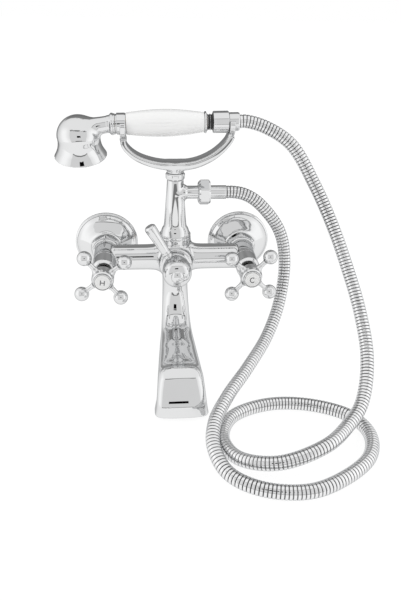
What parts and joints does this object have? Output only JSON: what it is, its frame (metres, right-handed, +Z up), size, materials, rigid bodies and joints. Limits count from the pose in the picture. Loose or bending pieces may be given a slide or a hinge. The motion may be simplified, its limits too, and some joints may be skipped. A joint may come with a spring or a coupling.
{
  "type": "bath mixer",
  "caption": "Wall-mounted bath and shower mixer with cross handles, a lever diverter, a flared cast spout and a telephone handset in a cradle on a ribbed hose.",
  "frame": {"origin": "on the wall, midway between the two inlets and at their height", "axes": "+Z up, +Y into the wall, +X to the right as seen by someone who faces the mixer"},
  "size_m": [0.3072, 0.3125, 0.2681],
  "materials": {
    "chrome": "polished chrome plate",
    "hose_chrome": "ribbed chrome-plated metal",
    "white_gloss": "glossy white",
    "brass": "machined",
    "rubber": "matt",
    "ceramic_disc": "lapped",
    "steel": "plain",
    "nylon": "moulded"
  },
  "bodies": {
    "mixer": {"mixer_body": "chrome", "aerator_housing": "chrome", "diverter_bonnet": "chrome", "riser_column": "chrome", "cradle_collar": "chrome", "cradle": "chrome", "hose_nut_mixer": "chrome", "hose_ferrule_mixer": "chrome", "wall_plate_left": "chrome", "wall_plate_right": "chrome", "union_nut_left": "chrome", "union_nut_right": "chrome", "bonnet_shroud_left": "chrome", "bonnet_shroud_right": "chrome", "shower_hose": "hose_chrome", "inlet_eccentric_left": "brass", "inlet_eccentric_right": "brass", "headwork_body_left": "brass", "headwork_body_right": "brass", "union_washer_left": "rubber", "union_washer_right": "rubber", "seat_seal_left": "rubber", "seat_seal_right": "rubber", "column_seal": "rubber", "aerator_seal": "rubber", "hose_washer_mixer": "rubber", "fixed_disc_left": "ceramic_disc", "fixed_disc_right": "ceramic_disc", "aerator_insert": "nylon"},
    "handle_left": {"cross_handle_left": "chrome", "index_cap_left": "white_gloss", "handle_screw_left": "steel", "valve_spindle_left": "brass", "spindle_o_ring_left": "rubber", "moving_disc_left": "ceramic_disc"},
    "handle_right": {"cross_handle_right": "chrome", "index_cap_right": "white_gloss", "handle_screw_right": "steel", "valve_spindle_right": "brass", "spindle_o_ring_right": "rubber", "moving_disc_right": "ceramic_disc"},
    "diverter": {"diverter_knob": "chrome", "diverter_spindle": "brass", "lever_collar": "chrome", "lever_rod": "chrome"},
    "handset": {"handset_head": "chrome", "spray_plate": "white_gloss", "grip_ferrule_front": "chrome", "handset_grip": "white_gloss", "grip_ferrule_rear": "chrome", "handset_tube": "brass", "tail_fitting": "chrome", "handset_hose_nut": "chrome", "hose_washer_handset": "rubber", "hose_ferrule_handset": "chrome"}
  },
  "joints": [
    {"name": "handle_left_turn", "type": "hinge", "parent": "mixer", "child": "handle_left", "pos_m": [-0.075, -0.0955, 0], "axis": [0, -1, 0], "range_deg": [0, 90]},
    {"name": "handle_right_turn", "type": "hinge", "parent": "mixer", "child": "handle_right", "pos_m": [0.075, -0.0955, 0], "axis": [0, -1, 0], "range_deg": [-90, 0]},
    {"name": "diverter_turn", "type": "hinge", "parent": "mixer", "child": "diverter", "pos_m": [0, -0.076, 0], "axis": [0, -1, 0], "range_deg": [-90, 0]},
    {"name": "handset_lift", "type": "slide", "parent": "mixer", "child": "handset", "axis": [0, 0, 1], "range_m": [0, 0.036]}
  ]
}
